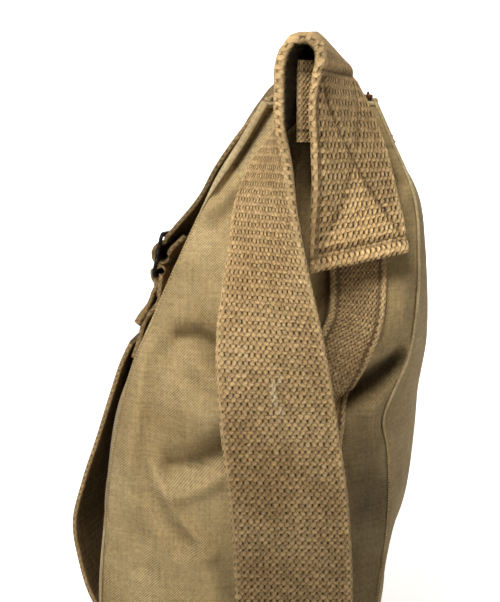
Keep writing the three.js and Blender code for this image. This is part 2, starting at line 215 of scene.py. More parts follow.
studio_sheet("floor", 8, (0, 0, 0), (0, 0, 0), 0.1)
studio_sheet("floor_paper", 1.9, (-0.97, 0, 0.0003), (0, 0, 0), 0.55)
studio_sheet("white_paper", 2.6, (-1.7, 0, 1.29), (0, math.pi / 2, 0), 1.0)


# Canvas walls: two broad panels, two gussets and a base, cut from heavy twilled cotton canvas.
# The seams are at the corners, and each wall swells and sags between them with soft folds.
FRAME_SHIFT = 0.44  # the frame is centred on its box, this much towards the front
CANVAS = 1.7
MOUTH_Z = 326.5
FOOT_Z = 1
HEM_DEPTH = 22  # the mouth is turned down and sewn
HEM_RISE = 0.9
GUSSET_TOP = MOUTH_Z - 2
GUSSET_INSET = 0.9  # from the corner seams
BASE_INSET = 1.5
PANEL_HALF, ROLL_HALF = 170, 168  # half widths that the weave and the rolls are laid out on

BODY_COLUMNS = ("z", "front", "back", "half", "gusset", "face", "rear")
BODY = (
    (0, -53, 53, 161, 0, 2, 2),
    (8, -60, 60, 165.5, 4, 5, 5),
    (22, -64, 63, 168, 11, 8, 7),
    (50, -66, 66, 169, 19, 12, 9),
    (85, -67, 70.2, 170, 25, 13, 14.6),
    (120, -64.5, 74.6, 170, 28, 12, 20.2),
    (158, -60, 74.2, 170, 28, 9, 25.2),
    (174, -57, 72, 170, 27, 6.5, 29.5),
    (190, -53, 78, 170, 25, 4, 25.5),
    (204, -48.4, 83.8, 170, 22.5, 1, 20.2),
    (217, -42.5, 86, 170, 20, -2, 18),
    (251, -27.4, 88, 168, 14, -8, 14),
    (284, -11.2, 84.8, 164, 9, -9, 10),
    (307, 3.5, 75.2, 160, 6, -5, 5),
    (330, 17, 65.2, 156, 3, 0, 2),
)
FACE_ROUND = 2  # a higher power makes the swell of a panel fuller towards its seams
REAR_ROUND = 4

# Folds of the gussets: outward rise, reach to each side, and the places (y, z) that a fold runs through.
GUSSET_FOLDS = (
    (-9, 5, ((-25, 214), (-18, 215), (-12, 212), (-6, 206), (0, 203))),
    (4, 6, ((-18, 203), (-8, 196), (0, 193))),
    (-2, 6, ((-29.5, 217), (-18, 199))),
    (5, 14, ((-16, 187), (-12, 183))),
    (-10, 7, ((-28, 154), (-18, 157), (-6, 164), (2, 170))),
    (4.5, 5, ((-26, 144), (-16, 148), (-6, 154))),
    (3.5, 4, ((-40, 156), (-34, 144), (-27, 134), (-18, 124), (-12, 116))),
    (-4.5, 6, ((-40, 140), (-33, 130), (-25, 119))),
    (3, 4, ((-45, 206), (-47.5, 180), (-50, 152))),
    (-3, 5, ((-36, 204), (-39, 178), (-42, 150))),
    (-3, 6, ((-31, 207), (-24, 198), (-18, 190))),
    (4, 8, ((-14, 112), (-11, 95), (-12, 78))),
    (-4, 7, ((-47, 118), (-45, 104))),
    (6, 11, ((75, 234), (76, 228))),
    (-14, 7, ((50, 186), (58, 190.5), (64, 194), (72, 198), (81, 203))),
    (4, 6, ((64, 178), (80, 187))),
    (4, 5, ((69.5, 174), (73, 165), (72, 150))),
    (-4, 5, ((39.5, 250), (38.5, 236), (34, 219))),
    (-6, 6, ((-6, 268), (1, 276), (6, 280))),
    (-6, 2.6, ((-9, 282), (8, 307), (19, 324))),
    (-2.5, 9, ((-20, 100), (-8, 92))),
    (3.5, 5, ((71, 277), (79, 278), (86, 275))),
    (-3.5, 3.5, ((69, 288), (77, 287), (86, 284))),
)
# Painted shade in the deepest folds and creases and, below zero, painted light on lit ridges and in one
# shaded gap, with pale wear on the ridges: how much, reach and places.
FOLD_SHADE_LIGHT_AND_WEAR = (
    (0.6, 2.4, ((0, 295), (8, 307), (19, 324))),
    (-0.25, 1.5, ((-40, 156), (-34, 144), (-27, 134), (-19, 125))),
    (-0.12, 3.5, ((-45, 206), (-48, 180), (-52, 150))),
    (-0.2, 4, ((-14, 110), (-11, 95), (-12, 78))),
    (-0.12, 5, ((76, 160), (74, 148))),
    (0.7, 6, ((52, 187), (58, 190.5), (64, 194), (72, 198), (79, 202))),
    (0.45, 1.0, ((56, 304.2), (77, 304.2))),
    (0.18, 13, ((58, 170), (64, 155), (66, 135))),
    (-0.1, 8, ((75, 240), (76, 232))),
    (0.7, 1.7, ((43.6, 254), (43.4, 237), (41.4, 223), (37, 213))),
    (-0.35, 6, ((26, 316), (28, 298), (31, 280), (34, 262))),
    (0.3, 4, ((-17, 157), (-6, 164), (2, 170))),
    (0.25, 4, ((-18, 215), (-12, 212), (-6, 206), (0, 203))),
)
# Rolls of the panels, in the same way, with places (u, z) and u from -1 to 1 across the width.
PANEL_ROLLS = (
    (-5, 16, ((-0.55, 205), (-0.1, 190))),
    (-5, 16, ((0.6, 212), (0.2, 196))),
    (-4, 18, ((-0.8, 110), (-0.5, 70))),
    (-4, 18, ((0.8, 100), (0.45, 62))),
)
STRAP_UNDER_Y = 25
WEBBING = 3.0
WEBBING_WIDTH = 50


def smooth_curve(places, values):
    """A smooth curve through values at places, as a function of place."""
    places = np.asarray(places, float)
    values = np.asarray(values, float)
    slopes = np.gradient(values, places)

    def at(place):
        place = np.clip(place, places[0], places[-1])
        k = np.clip(np.searchsorted(places, place) - 1, 0, len(places) - 2)
        gap = places[k + 1] - places[k]
        t = (place - places[k]) / gap
        start = (2 * t**3 - 3 * t**2 + 1) * values[k] + (t**3 - 2 * t**2 + t) * gap * slopes[k]
        end = (3 * t**2 - 2 * t**3) * values[k + 1] + (t**3 - t**2) * gap * slopes[k + 1]
        return start + end

    return at


BODY_TABLE = dict(zip(BODY_COLUMNS, np.array(BODY, float).T))
body = {key: smooth_curve(BODY_TABLE["z"], BODY_TABLE[key]) for key in BODY_COLUMNS[1:]}


def smooth_step(place, start, end):
    t = np.clip((place - start) / (end - start), 0, 1)
    return t * t * (3 - 2 * t)


def away_from(p, q, start, end):
    """Distance of places (p, q) from the straight run between two places."""
    run_p, run_q = end[0] - start[0], end[1] - start[1]
    share = ((p - start[0]) * run_p + (q - start[1]) * run_q) / (run_p**2 + run_q**2)
    share = np.clip(share, 0, 1)
    return np.hypot(p - start[0] - share * run_p, q - start[1] - share * run_q)


def fold_rise(p, z, folds):
    total = np.zeros(np.broadcast(p, z).shape)
    for rise, reach, places in folds:
        away = np.full(total.shape, np.inf)
        for start, end in zip(places, places[1:]):
            away = np.minimum(away, away_from(p, z, start, end))
        total = total + rise * np.exp(-((away / reach) ** 2))
    return total


def ripple(a, b, size, seed):
    """Gentle uneven waves of about the given size, from -1 to 1, always the same for one seed."""
    draw = np.random.default_rng(seed)
    total = np.zeros(np.broadcast(a, b).shape)
    for _ in range(7):
        bearing = draw.uniform(0, math.tau)
        length = size * draw.uniform(0.6, 1.6)
        start = draw.uniform(0, math.tau)
        total = total + np.sin((a * math.cos(bearing) + b * math.sin(bearing)) * math.tau / length + start)
    return total / 4


def lift_over_strap(y):
    away = np.abs(y - STRAP_UNDER_Y)
    return (WEBBING + 0.8) * (1 - smooth_step(away, WEBBING_WIDTH / 2 + 1, WEBBING_WIDTH / 2 + 9))


def gusset_x(y, z):
    inner = body["front"](z) + 1
    outer = body["back"](z) - 1
    side = np.clip(2 * (y - inner) / (outer - inner) - 1, -1, 1)
    edge = 1 - np.abs(side) ** 2.2
    hold = np.minimum(1, 5 * edge)
    x = body["half"](z) + body["gusset"](z) * edge
    x = x + hold * fold_rise(y, z, GUSSET_FOLDS)
    x = x + hold * 0.5 * ripple(y, z, 38, 3)
    return x


def panel_y(u, z, side):
    seam = body["front"](z) if side < 0 else body["back"](z)
    swell = body["face"](z) if side < 0 else body["rear"](z)
    edge = 1 - np.abs(u) ** (FACE_ROUND if side < 0 else REAR_ROUND)
    hold = np.minimum(1, 3 * edge)
    width = body["half"](z)
    rolls = []
    for rise, reach, places in PANEL_ROLLS:
        rolls.append((rise, reach, [(side * at * ROLL_HALF, level) for at, level in places]))
    out = swell * edge + hold * fold_rise(u * width, z, rolls)
    out = out + hold * 0.8 * ripple(u * width, z, 70, 5 if side < 0 else 8)
    out = out + HEM_RISE * smooth_step(z, MOUTH_Z - HEM_DEPTH - 0.6, MOUTH_Z - HEM_DEPTH + 0.6)
    return seam + side * out


def mesh_piece(name, points, faces, uvs=None, attributes=None):
    """A new object from points in millimetres, with its place in its mesh."""
    mesh = bpy.data.meshes.new(name)
    moved = (np.asarray(points, float) - np.array([0, FRAME_SHIFT, 0])) * MM
    mesh.from_pydata(moved.tolist(), [], faces)
    if uvs is not None:
        layer = mesh.uv_layers.new(name="UVMap")
        uvs = np.asarray(uvs, float)
        if len(uvs) == len(points):
            corners = np.zeros(len(mesh.loops), np.int32)
            mesh.loops.foreach_get("vertex_index", corners)
            uvs = uvs[corners]
        layer.data.foreach_set("uv", (uvs * MM).ravel())
    for key, values in (attributes or {}).items():
        mesh.attributes.new(key, "FLOAT", "POINT").data.foreach_set("value", np.asarray(values, np.float32))
    mesh.polygons.foreach_set("use_smooth", [True] * len(mesh.polygons))
    mesh.update()
    piece = bpy.data.objects.new(name, mesh)
    scene.collection.objects.link(piece)
    return piece


def grid_faces(rows, columns):
    start = (np.arange(rows - 1)[:, None] * columns + np.arange(columns - 1)[None, :]).ravel()
    return np.stack([start, start + 1, start + 1 + columns, start + columns], 1).tolist()


def apply_modifier(piece, kind, **settings):
    bpy.ops.object.select_all(action="DESELECT")
    piece.select_set(True)
    bpy.context.view_layer.objects.active = piece
    modifier = piece.modifiers.new(kind.title(), kind)
    for key, value in settings.items():
        setattr(modifier, key, value)
    bpy.ops.object.modifier_apply(modifier=modifier.name)


def cloth_wall(name, points, uvs, thickness, darkening=None):
    """A wall from a grid of outer points, thickened inward."""
    rows, columns = points.shape[:2]
    marks = None if darkening is None else {"darkening": darkening.ravel()}
    piece = mesh_piece(name, points.reshape(-1, 3), grid_faces(rows, columns), uvs.reshape(-1, 2), marks)
    apply_modifier(piece, "SOLIDIFY", thickness=thickness * MM, offset=-1.0, use_rim=True)
    return piece


def canvas_finish(name, colour, dark, pale, yarn):
    """Twilled cotton: fine slanting ridges, uneven yarns, faded patches, and a darkening mark that holds
    painted shade in hollows.
    """
    finish = Finish(name, roughness=0.95, sheen=0.05, specular=0.1)
    across, along = finish.uv()
    twill = ((across - along) * (math.tau / yarn)).sin()
    crossing = (across * (math.tau / yarn)).sin() * (along * (math.tau / yarn)).sin()
    slub_up = finish.noise(finish.spot(across * 900, along * 55), 1.0, 1.0)
    slub_over = finish.noise(finish.spot(across * 55, along * 900, 7.0), 1.0, 1.0)
    patch = finish.noise(finish.spot(across, along), 26.0, 3.0)
    cloud = finish.noise(finish.spot(across, along, 5.0), 120.0, 2.0)
    fleck = finish.noise(finish.spot(across, along, 3.0), 620.0, 2.0)
    grain = 0.86 + (cloud - 0.5) * 0.35 + twill * 0.18 + crossing * 0.15
    grain = grain + (slub_up - 0.5) * 0.35 + (slub_over - 0.5) * 0.35 + (fleck - 0.5) * 0.7
    tone = finish.blend((patch - 0.36) * 2.6, dark, pale)
    tone = finish.blend(0.45, tone, colour)
    # The darkening mark carries the painted shade and painted light of the gussets, and the panels'
    # darkening towards the bottom.
    finish.set("Base Color", finish.shade(tone, grain * (1 - finish.attribute("darkening"))))
    height = twill * 0.35 + slub_up * 0.4 + slub_over * 0.4 + fleck * 0.6
    finish.bump(height, 0.0003)
    return finish.material


khaki = paint(178, 154, 108)
canvas = canvas_finish("khaki_canvas", khaki, paint(142, 117, 76), paint(194, 171, 126), 0.0013)


def dress(piece, material, slot, *nodes):
    """Gives a finished piece its material and its place on the frame."""
    piece.data.materials.append(material)
    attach(piece, "root")
    if nodes:
        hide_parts(*nodes)


def gusset_span(share, z):
    """Places across a gusset, from its front seam to its back seam."""
    return (body["front"](z) + GUSSET_INSET) * (1 - share) + (body["back"](z) - GUSSET_INSET) * share


def gusset_grid(columns, rows):
    s, v = np.meshgrid(np.linspace(0, 1, columns), np.linspace(0, 1, rows))
    foot_y = body["front"](FOOT_Z) * (1 - s) + body["back"](FOOT_Z) * s
    foot = FOOT_Z + lift_over_strap(foot_y)
    z = foot * (1 - v) + GUSSET_TOP * v
    y = gusset_span(s, z)
    return gusset_x(y, z), y, z


def make_gusset(name, side):
    x, y, z = gusset_grid(96, 190)
    points = np.stack([side * x, y, z], -1)
    uvs = np.stack([y, z], -1)
    # Painted shade low at the back, turned from the light, and low beneath the strap, in its shadow.
    darkening = 0.5 * smooth_step(y, 30, 60) * (1 - smooth_step(z, 130, 205))
    darkening = darkening + 0.25 * smooth_step(y, -14, 2) * (1 - smooth_step(y, 2, 20)) * (1 - smooth_step(z, 90, 125))
    darkening = np.clip(darkening + fold_rise(y, z, FOLD_SHADE_LIGHT_AND_WEAR), -0.3, 0.8)
    if side < 0:
        points, uvs, darkening = points[:, ::-1], uvs[:, ::-1], darkening[:, ::-1]
    wall = cloth_wall(name + "_canvas", points, uvs, CANVAS, darkening)
    dress(wall, canvas, "canvas", name)


def make_panel(name, side):
    u, z = np.meshgrid(np.linspace(-1, 1, 96), np.linspace(FOOT_Z, MOUTH_Z, 100))
    points = np.stack([u * body["half"](z), panel_y(u, z, side), z], -1)
    uvs = np.stack([u * PANEL_HALF, z], -1)
    # The panels are darker towards the bottom.
    darkening = 0.2 * (1 - smooth_step(z, 60, 230))
    if side > 0:
        points, uvs = points[:, ::-1], uvs[:, ::-1]
    wall = cloth_wall(name + "_canvas", points, uvs, CANVAS, darkening)
    dress(wall, canvas, "canvas", name)


make_panel("front_panel", -1)
make_panel("back_panel", 1)
make_gusset("gusset_right", 1)
make_gusset("gusset_left", -1)

base_half_x = float(body["half"](0)) - BASE_INSET
base_half_y = float(body["back"](0)) - BASE_INSET
base_over = np.linspace(-base_half_x, base_half_x, 40)
base_x, base_y = np.meshgrid(base_over, np.linspace(base_half_y, -base_half_y, 60))
base_points = np.stack([base_x, base_y, lift_over_strap(base_y)], -1)
base_panel = cloth_wall("base_panel_canvas", base_points, np.stack([base_x, base_y], -1), CANVAS)
dress(base_panel, canvas, "canvas", "base_panel")


# The shoulder strap: one length of very heavy cotton webbing with fat staggered yarns and firm edges.
# Each end is turned under and box-stitched to a gusset; the strap folds over, hangs and runs under the base.
STRAP_COLUMNS = ("x", "y", "z", "turn", "dip")
STRAP_ROUTE = (
    (192.5, 57.8, 247, 16, 0),
    (190.5, 57.0, 257, 20, 0),
    (187.6, 56.5, 268, 25, 0),
    (186, 55.5, 280, 33, 0),
    (184, 52.5, 302.5, 43, 0),
    (183, 47.5, 325, 56, 0),
    (182.0, 45.6, 334.5, 66, 0),
    (182.2, 44.8, 340.6, 72, 0),
    (182.3, 43.3, 344.3, 76, -0.03),
    (182.5, 40.4, 348.3, 79, 0),
    (182.9, 37.3, 351.2, 80, 0.04),
    (183.2, 34.7, 352.6, 79, 0.08),
    (183.9, 32.4, 352.6, 75, 0.11),
    (184.7, 31.5, 349.2, 70, 0.09),
    (185.3, 30.4, 345.0, 68, 0.06),
    (185.8, 29.3, 340.1, 68, 0.04),
    (187.4, 27.7, 331.7, 71, 0),
    (189.5, 24.3, 319.6, 79, 0),
    (191.0, 20.8, 311.9, 88, 0),
    (192.5, 18.3, 303.8, 98, 0),
    (193.9, 16.2, 296.1, 107, 0),
    (196.0, 13.7, 280.6, 119, 0),
    (201.5, 13.8, 258, 132, 0),
    (206.5, 14.6, 236, 147, 0),
    (210, 16, 214, 164, 0),
    (212.5, 18.5, 191, 177, 0),
    (213, 21.5, 168, 180, 0),
    (213, 24.3, 145, 180, 0),
    (210.5, 27, 100, 180, 0),
    (205, STRAP_UNDER_Y + 1, 55, 180, 0),
    (198, STRAP_UNDER_Y, 24, 180, 0),
    (192, STRAP_UNDER_Y, 10, 180, 0),
    (182, STRAP_UNDER_Y, 3.2, 180, 0),
    (168, STRAP_UNDER_Y, 1.7, 180, 0),
    (150, STRAP_UNDER_Y, 1.5, 180, 0),
    (60, STRAP_UNDER_Y, 1.5, 180, 0),
)
YARN_PAIR = 2.7  # two neighbouring yarns, across the webbing
YARN_STEP = 3.7  # from one bump of a yarn to its next


def travel(line):
    """Distance along a line of points, at each point."""
    return np.concatenate([[0], np.cumsum(np.linalg.norm(np.diff(line, axis=0), axis=1))])


def unit(vectors):
    return vectors / np.linalg.norm(vectors, axis=-1, keepdims=True)


class Ribbon:
    """A flat strap along stations of a middle line, with the direction of its width at each."""

    def __init__(self, points, across, square=True):
        points = np.asarray(points, float)
        reach = travel(points)
        fine = np.linspace(0, reach[-1], 4000)
        line = np.stack([smooth_curve(reach, points[:, k])(fine) for k in range(3)], 1)
        width = np.stack([smooth_curve(reach, np.asarray(across, float)[:, k])(fine) for k in range(3)], 1)
        tangent = unit(np.gradient(line, axis=0))
        if square:
            width -= tangent * np.sum(width * tangent, axis=1, keepdims=True)
        width = unit(width)
        self.run = travel(line)
        self.length = self.run[-1]
        self.frames = {"line": line, "width": width, "out": unit(np.cross(tangent, width))}

    def read(self, key, along):
        values = self.frames[key]
        return np.stack([np.interp(along, self.run, values[:, k]) for k in range(3)], -1)

    def place(self, along, across, out):
        point = self.read("line", along)
        point = point + self.read("width", along) * np.asarray(across)[..., None]
        return point + self.read("out", along) * np.asarray(out)[..., None]


def webbing_piece(
    name, place, alongs, width, thickness, columns, weave=None, relief=None, marks=None, fine=1.0
):
    """A closed strap with round edges and square ends.

    place gives the point at a distance along, across and out from the middle of the strap. thickness
    and weave, the length of the yarns, are functions of the distance along. relief goes by across too,
    and marks also by out. fine is the width of the yarns.
    """
    alongs = np.asarray(alongs, float)
    rows = len(alongs)
    radius = (thickness(alongs) if callable(thickness) else np.full(rows, thickness)) / 2
    flat = width / 2 - radius.mean()
    bend = np.linspace(0, math.pi, 7)[1:-1]
    outer = np.linspace(-flat, flat, columns)
    inner = np.linspace(flat, -flat, 9)
    lie = np.concatenate([outer, np.full(5, flat), inner, np.full(5, -flat)])
    aside = np.concatenate([np.zeros(columns), np.sin(bend), np.zeros(9), -np.sin(bend)])
    lift = np.concatenate([np.ones(columns), np.cos(bend), -np.ones(9), -np.cos(bend)])
    half_turn = math.pi * radius.mean()
    girth = np.concatenate([outer, flat + bend / math.pi * half_turn, 2 * flat - inner + half_turn])
    girth = np.concatenate([girth, 3 * flat + half_turn + bend / math.pi * half_turn])
    ring = len(lie)
    across = lie[None, :] + aside[None, :] * radius[:, None]
    along = np.repeat(alongs[:, None], ring, 1)
    out = lift[None, :] * radius[:, None]
    if relief is not None:
        out = out + relief(along, across) * np.maximum(lift, 0)[None, :]
    points = place(along, across, out).reshape(-1, 3)
    start = np.arange(rows - 1)[:, None] * ring
    here = np.arange(ring)[None, :]
    after = (here + 1) % ring
    faces = np.stack([start + after, start + ring + after, start + ring + here, start + here], -1)
    faces = faces.reshape(-1, 4).tolist()
    faces.append(list(range(ring)))
    faces.append(list(range(rows * ring - 1, (rows - 1) * ring - 1, -1)))
    size = np.ones(rows) if weave is None else weave(alongs)
    run = np.concatenate([[0], np.cumsum(np.diff(alongs) * 2 / (size[1:] + size[:-1]))])
    wide = np.repeat(girth[None, :] / fine, rows, 0)
    wide_next = np.repeat(np.append(girth[1:], girth[0] + 4 * flat + 2 * half_turn)[None, :] / fine, rows, 0)
    run = np.repeat(run[:, None], ring, 1)
    corner_u = np.stack([wide_next[:-1], wide_next[1:], wide[1:], wide[:-1]], -1)
    corner_v = np.stack([run[:-1], run[1:], run[1:], run[:-1]], -1)
    uvs = np.stack([corner_u, corner_v], -1).reshape(-1, 2)
    ends = np.stack([across[0], out[0]], -1)
    uvs = np.concatenate([uvs, ends, ends[::-1]])
    values = {key: mark(along, across, out).ravel() for key, mark in (marks or {}).items()}
    values["selvedge"] = smooth_step(np.abs(across), width / 2 - 3.6, width / 2 - 1.6).ravel()
    return mesh_piece(name, points, faces, uvs, values)


def webbing_finish(name, colour, dark, pale):
    """Fat cotton yarns in staggered bumps, each yarn a little different, with painted shade between the
    bumps and painted light on their tops.
    """
    finish = Finish(name, roughness=0.95, specular=0.1)
    across, along = finish.uv()
    wander = finish.noise(finish.spot(across, along, 0.5), 330.0, 1.0) - 0.5
    stray = finish.noise(finish.spot(across, along, 0.9), 330.0, 1.0) - 0.5
    across = across + wander * 0.0014
    along = along + stray * 0.0022
    height = None
    tint = None
    ribbed = finish.attribute("ribbed")
    for shift, narrow, short in ((0.0, 1.82 - ribbed * 0.26, 2.6 + ribbed * 0.34), (0.5, 2.2, 2.58)):
        column = across * (1 / (YARN_PAIR * MM)) + shift
        row = along * (1 / (YARN_STEP * MM)) + shift
        b = (row.fract() - 0.5) * short
        a = (column.fract() - 0.5) * narrow + b * 0.09
        bump = (1 - a * a - b * b).over(0.0).sqrt()
        place = finish.spot(column.floor(), row.floor(), 3 + shift)
        each = finish.node("ShaderNodeTexWhiteNoise", {"noise_dimensions": "3D"}, {"Vector": place})
        if height is None:
            height, tint = bump, bump * each
        else:
            height = height.over(bump)
            tint = tint.over(bump * each)
    fibre = finish.noise(finish.spot(across * 0.8 - along * 0.6, across * 0.27 + along * 0.36), 2000.0, 2.0)
    patch = finish.noise(finish.spot(across, along), 30.0, 3.0)
    selvedge = finish.attribute("selvedge")
    tone = finish.blend((patch - 0.36) * 3.2, dark, pale)
    tone = finish.blend(0.5, tone, colour)
    tone = finish.blend(selvedge * 0.45, tone, pale)
    # Painted light and shade of the weave's relief: bump tops lighter, painted shade in the hollows between
    # them.
    light = 0.36 + height * 0.42 + tint * 0.44 + (fibre - 0.5) * 1.1 + selvedge * 0.1
    hollow_shade = 1 - (height * 1.7).under(1.0)
    light = light * (1 - hollow_shade * (0.72 - selvedge * 0.46))
    # Painted shade in the stitch grooves and on the inner faces, painted light on the padded triangle, then
    # the darkening mark.
    light = light * (1 - finish.attribute("groove") * 0.6) * (1 - finish.attribute("inside") * 0.93)
    light = light * (1 + finish.attribute("painted_highlight") * 0.52) * (1 - finish.attribute("darkening"))
    wear = finish.attribute("wear") * (fibre * 2.6 - 0.7).over(0.0).under(1.0)
    finish.set("Base Color", finish.blend(wear, finish.shade(tone, light), paint(212, 193, 156)))
    finish.bump(height * (1 - selvedge * 0.6) + fibre * 0.5, 0.0012)
    return finish.material


webbing = webbing_finish("khaki_webbing", paint(190, 157, 108), paint(168, 135, 90), paint(208, 177, 128))

strap_table = dict(zip(STRAP_COLUMNS, np.array(STRAP_ROUTE, float).T))
turn = np.radians(strap_table["turn"])
strap_points = np.stack([strap_table[key] for key in "xyz"], 1)
strap_across = np.stack([np.sin(turn), -np.cos(turn), -strap_table["dip"]], 1)
mirror = np.array([-1, 1, 1])
strap_line = Ribbon(
    np.concatenate([strap_points, strap_points[::-1] * mirror]),
    np.concatenate([strap_across, strap_across[::-1] * mirror]),
    square=False,
)

# The sewn end: a rolled hem, a box of stitches and two diagonals. Each seam runs between two places along
# and across the strap, and pulls the webbing in by its depth.
PATCH_END = 92
HEM_ROLL = 6
PATCH_SEAMS = (
    (9, 21.5, PATCH_END, 21.5, 0.6),
    (8.5, 21.5, 8.5, -24, 0.8),
    (PATCH_END, 24, PATCH_END, -24, 1.0),
    (PATCH_END - 2, 19, 9, -22, 0.9),
    (10, 20, PATCH_END - 3, -18, 0.35),
)
THICK_END, THICK_LOOP = 3.4, 6.0
LIMB_SPREAD = 0.1  # the hanging length has stretched wider
END_SLANT = 0.17  # the end is cut off level, so its far edge is shorter
# Zones by distance from the nearer sewn end: where each change begins and where it is complete.
THICKENS, THINS = (80, 100), (145, 230)
FOLD_BEGINS, FOLD_ENDS = (86, 96), (150, 185)
EDGE_DARKENS, EDGE_CLEARS = (88, 100), (170, 260)
SPREADS, NARROWS = (210, 330), (380, 450)
YARNS_SHORTEN, LIMB_CHANGES = (95, 190), (190, 400)
RIBS_FADE = (170, 290)


def from_end(along):
    """Distance to the nearer of the strap's two sewn ends."""
    return np.minimum(along, strap_line.length - along)


def seam_pull(along, across, reach):
    pull = np.zeros(np.shape(along))
    for from_a, from_c, to_a, to_c, depth in PATCH_SEAMS:
        away = away_from(along, across, (from_a, from_c), (to_a, to_c))
        pull = np.maximum(pull, depth * np.exp(-((away / reach) ** 2)))
    return pull


def strap_place(along, across, out):
    away = from_end(along)
    spread = LIMB_SPREAD * smooth_step(away, *SPREADS) * (1 - smooth_step(away, *NARROWS))
    across = across * (1 + spread)
    cut = END_SLANT * (WEBBING_WIDTH / 2 - across) * (1 - smooth_step(away, 0, 60))
    first_half = along < strap_line.length / 2
    return strap_line.place(along + np.where(first_half, cut, -cut), across, out)


def strap_thickness(along):
    away = from_end(along)
    thick = THICK_END + (THICK_LOOP - THICK_END) * smooth_step(away, *THICKENS)
    return thick + (WEBBING - thick) * smooth_step(away, *THINS)


def strap_weave(along):
    """The yarns are longest on the sewn end and shorter down the hanging length."""
    away = from_end(along)
    return 1.32 - 0.32 * smooth_step(away, *YARNS_SHORTEN) - 0.06 * smooth_step(away, *LIMB_CHANGES)


def strap_relief(along, across):
    away = from_end(along)
    roll = 1.7 * np.sqrt(np.clip(1 - ((away - HEM_ROLL / 2) / (HEM_ROLL / 2)) ** 2, 0, 1))
    quilt = 0.8 * (1 - smooth_step(away, PATCH_END, PATCH_END + 14)) * smooth_step(away, 6, 10)
    return roll + quilt - 1.4 * seam_pull(away, across, 1.6)


# Painted shade along the stitch lines of the sewn end and in the crease under the rolled hem.
def strap_groove(along, across, out):
    away = from_end(along)
    return np.maximum(0.7 * seam_pull(away, across, 0.9), np.exp(-(((away - HEM_ROLL - 0.6) / 0.9) ** 2)))


def strap_inner_shade(along, across, out):
    """The inner face of the fold at the top is darkened with painted shade, for the deep shade inside the
    fold.
    """
    away = from_end(along)
    folded = smooth_step(away, *FOLD_BEGINS) * (1 - smooth_step(away, *FOLD_ENDS))
    return folded * smooth_step(-out, 1.7, 2.8)


def strap_scuff(along, across, out):
    """A pale worn spot on the hanging length."""
    spots = ((274, 0, 2.2, 1.0), (279, -0.5, 3, 1.2), (285, 1.6, 2.2, 0.9), (271, 3, 1.5, 0.8))
    total = np.zeros(np.shape(along))
    for at, aside, reach, wide in spots:
        total = total + np.exp(-(((along - at) / reach) ** 2) - ((across - aside) / wide) ** 2)
    return np.clip(total, 0, 1)


def strap_painted_highlight(along, across, out):
    """The padded triangle above the hem is brightened with painted light, where its padding bulges towards
    the light.
    """
    away = from_end(along)
    below = np.minimum(10 + (20 - across) * 1.92 - away, 9 + (across + 22) * 1.83 - away)
    return smooth_step(below, -5, 14) * smooth_step(out, 0, 1)


def strap_darkening(along, across, out):
    """The hanging length is darker towards the base, and the edges of the fold are darker."""
    away = from_end(along)
    edge = smooth_step(np.abs(across), 22.5, 24.5) * smooth_step(away, *EDGE_DARKENS)
    edge = edge * (1 - smooth_step(away, *EDGE_CLEARS))
    return 0.48 * smooth_step(away, *LIMB_CHANGES) + 0.2 * edge


def strap_ribs(along, across, out):
    """The rows of the weave stand out where the strap isn't pulled long by its load."""
    return 1 - smooth_step(from_end(along), *RIBS_FADE)


half_length = strap_line.length / 2
half_alongs = [np.arange(0, 12, 0.6), np.arange(12, 130, 1.1), np.arange(130, half_length, 2.4)]
half_alongs = np.concatenate(half_alongs)
strap_alongs = np.concatenate([half_alongs, strap_line.length - half_alongs[::-1]])
shoulder_strap = webbing_piece(
    "shoulder_strap_webbing",
    strap_place,
    strap_alongs,
    WEBBING_WIDTH,
    strap_thickness,
    52,
    strap_weave,
    strap_relief,
    {
        "groove": strap_groove,
        "wear": strap_scuff,
        "inside": strap_inner_shade,
        "painted_highlight": strap_painted_highlight,
        "darkening": strap_darkening,
        "ribbed": strap_ribs,
    },
)
dress(shoulder_strap, webbing, "webbing", "shoulder_strap")


# A short tab of the same webbing stands upright behind the strap at the top of each gusset. Its near part
# is turned outward and shows beside the strap; it is sewn at the top and at the bottom.
BACKING_NEAR = (199, 25.8)
BACKING_LOW, BACKING_TALL, BACKING_WIDE = 306, 36, 34
BACKING_TURN_NEAR, BACKING_TURN_FAR = 25, 75
BACKING_BEND = (4, 14)  # where it turns, from its near edge
BACKING_SEAM = 5
FINE_YARN = 0.72  # share of the strap's yarn, in the tabs and the tapes


def fine_weave(along):
    return np.full(np.shape(along), FINE_YARN)


backing_reach = np.linspace(-2, BACKING_WIDE + 2, 200)
bend_share = smooth_step(backing_reach, *BACKING_BEND)
backing_turn = np.radians(BACKING_TURN_NEAR + (BACKING_TURN_FAR - BACKING_TURN_NEAR) * bend_share)
backing_step = backing_reach[1] - backing_reach[0]
backing_back = np.cumsum(np.sin(backing_turn)) * backing_step
backing_aside = np.cumsum(np.cos(backing_turn)) * backing_step


def make_backing(name, side):
    def place(along, across, out):
        reach = BACKING_WIDE / 2 - across
        heading = np.interp(reach, backing_reach, backing_turn)
        x = BACKING_NEAR[0] - np.interp(reach, backing_reach, backing_back) + np.cos(heading) * out
        y = BACKING_NEAR[1] + np.interp(reach, backing_reach, backing_aside) + np.sin(heading) * out
        return np.stack([side * x, y, BACKING_LOW + along], -1)

    def groove(along, across, out):
        ends = np.minimum(along, BACKING_TALL - along)
        return np.exp(-(((ends - BACKING_SEAM) / 0.8) ** 2))

    alongs = np.linspace(0, BACKING_TALL, 60)
    # The groove mark is painted shade along the two rows of stitching.
    marks = {"groove": groove}
    sizes = (BACKING_WIDE, WEBBING, 30)
    backing = webbing_piece(name + "_webbing", place, alongs, *sizes, fine_weave, None, marks, FINE_YARN)
    if side < 0:
        backing.data.flip_normals()
    dress(backing, webbing, "webbing", name)


make_backing("strap_backing_right", 1)
make_backing("strap_backing_left", -1)


